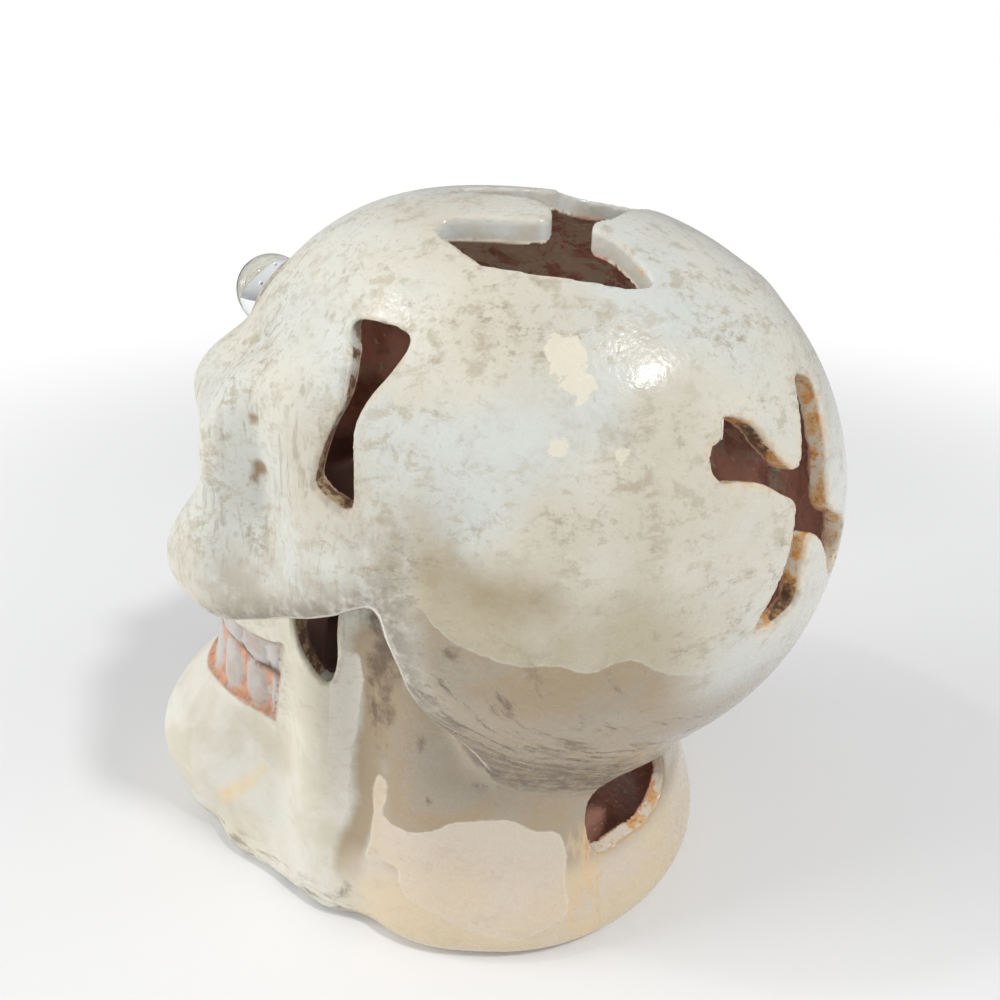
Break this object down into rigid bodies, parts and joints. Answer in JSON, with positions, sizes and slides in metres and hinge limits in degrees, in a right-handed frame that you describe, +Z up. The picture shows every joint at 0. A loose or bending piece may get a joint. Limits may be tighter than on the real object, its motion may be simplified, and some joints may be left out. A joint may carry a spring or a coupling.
{
  "type": "skull candle holder",
  "caption": "Hollow glazed skull with pierced openings, open under the foot, that stands over a tea light; a clear glass ball is set in the forehead.",
  "frame": {"origin": "on the table, under the middle of the overall box", "axes": "+Z up, the face looks along -Y, the skull's own left side is +X"},
  "size_m": [0.1494, 0.215, 0.2024],
  "materials": {
    "glaze": "gloss",
    "clear_glass": "polished",
    "cement": "matte",
    "felt": "matte",
    "cup_metal": "satin",
    "wax": "satin",
    "wick_cotton": "matte"
  },
  "bodies": {
    "candle": {"candle_cup": "cup_metal", "wick_tab": "cup_metal", "candle_wax": "wax", "wick": "wick_cotton"},
    "skull": {"skull_shell": "glaze", "forehead_ball": "clear_glass", "ball_cement": "cement", "foot_pad_rear_left": "felt", "foot_pad_rear_right": "felt", "foot_pad_front_right": "felt", "foot_pad_front_left": "felt"}
  },
  "joints": [
    {"name": "lift_off", "type": "slide", "parent": "candle", "child": "skull", "axis": [0, 0, 1], "range_m": [0, 0.1]}
  ]
}
